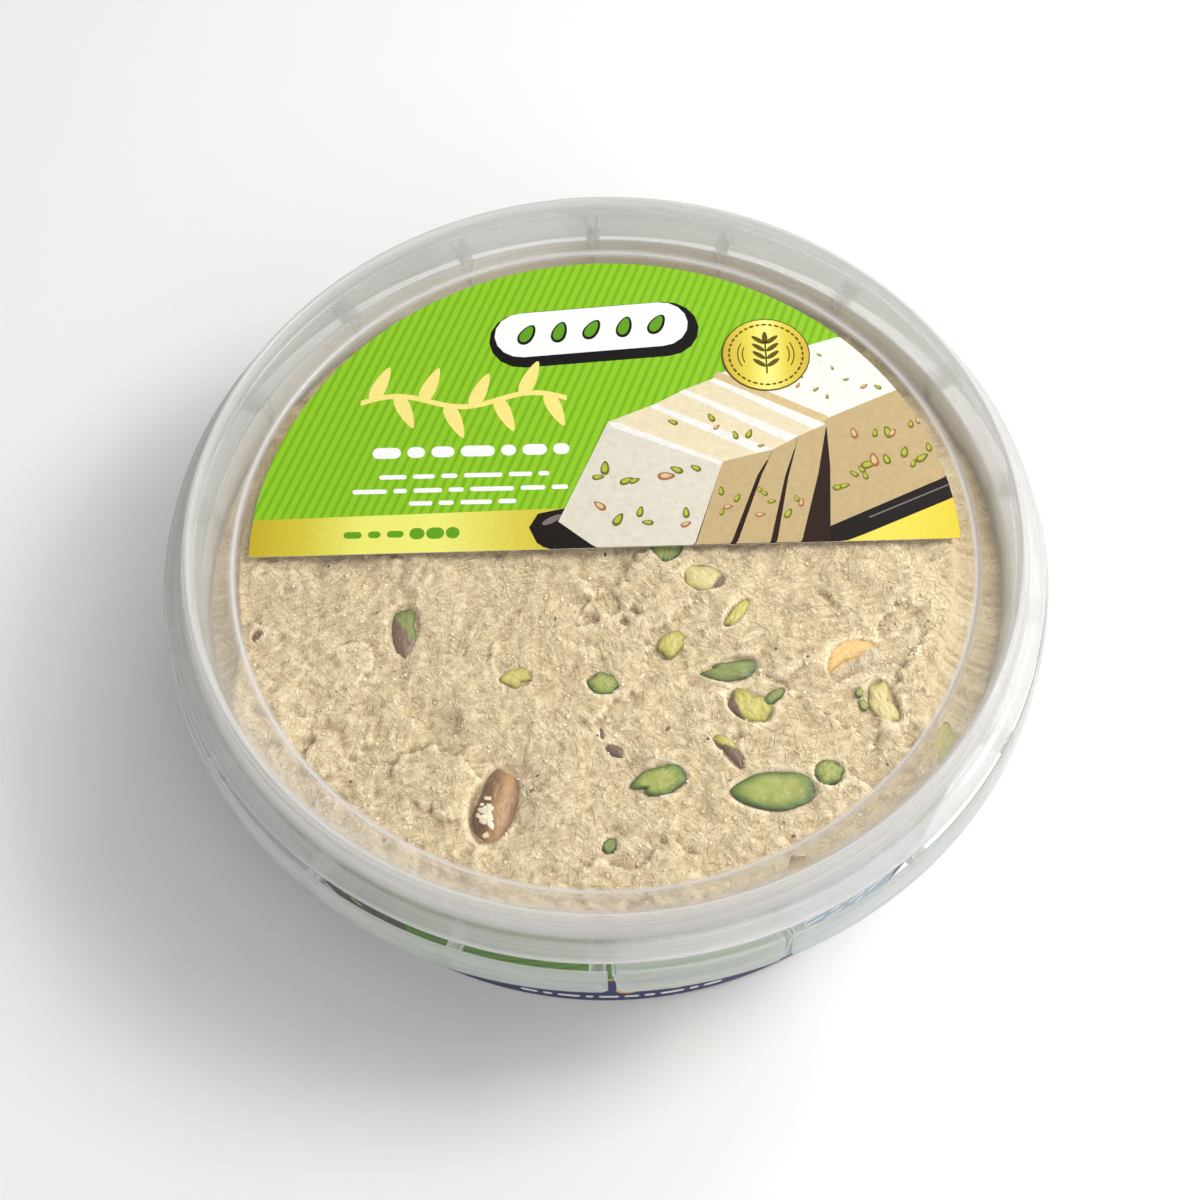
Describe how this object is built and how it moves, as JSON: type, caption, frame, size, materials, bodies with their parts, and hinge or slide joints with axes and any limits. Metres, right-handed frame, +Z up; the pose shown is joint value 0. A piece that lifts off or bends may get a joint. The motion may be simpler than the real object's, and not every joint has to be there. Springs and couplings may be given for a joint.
{
  "type": "closed plastic tub of pistachio halva",
  "caption": "Round translucent plastic tub of pistachio halva, shut by a clear recessed lid with a half-round printed label, with a webbed tamper collar and a tear tab.",
  "frame": {"origin": "centre of the foot ring, on the table", "axes": "+Z up along the tub's axis; -Y towards the front, where the tear tab is; +X to the right of the front"},
  "size_m": [0.127, 0.127, 0.0406],
  "materials": {
    "tub_plastic": "translucent, satin moulded plastic",
    "lid_plastic": "clear, glossy moulded plastic, milky where it is thick or bent",
    "label_print": "satin printed label in green, gold and cream fields",
    "sleeve_print": "satin printed band in green and navy fields",
    "halva": null,
    "pistachio_green": null,
    "pistachio_skin": null
  },
  "bodies": {
    "root": {"tub": "tub_plastic", "lid": "lid_plastic", "lid_label": "label_print", "sleeve": "sleeve_print", "halva": "halva", "pistachio_whole_skin": "pistachio_skin", "pistachio_half_large": "pistachio_green", "pistachio_half_notched": "pistachio_green", "pistachio_purple_skin": "pistachio_skin", "pistachio_dark_green": "pistachio_green", "pistachio_skinned_half": "pistachio_skin", "pistachio_golden": "pistachio_skin", "pistachio_pale": "pistachio_green", "pistachio_curved_sliver": "pistachio_green", "pistachio_small_round": "pistachio_green", "pistachio_small_green": "pistachio_green", "pistachio_rimmed_slice": "pistachio_green", "pistachio_under_label": "pistachio_green", "pistachio_yellow_half": "pistachio_green"}
  },
  "joints": []
}
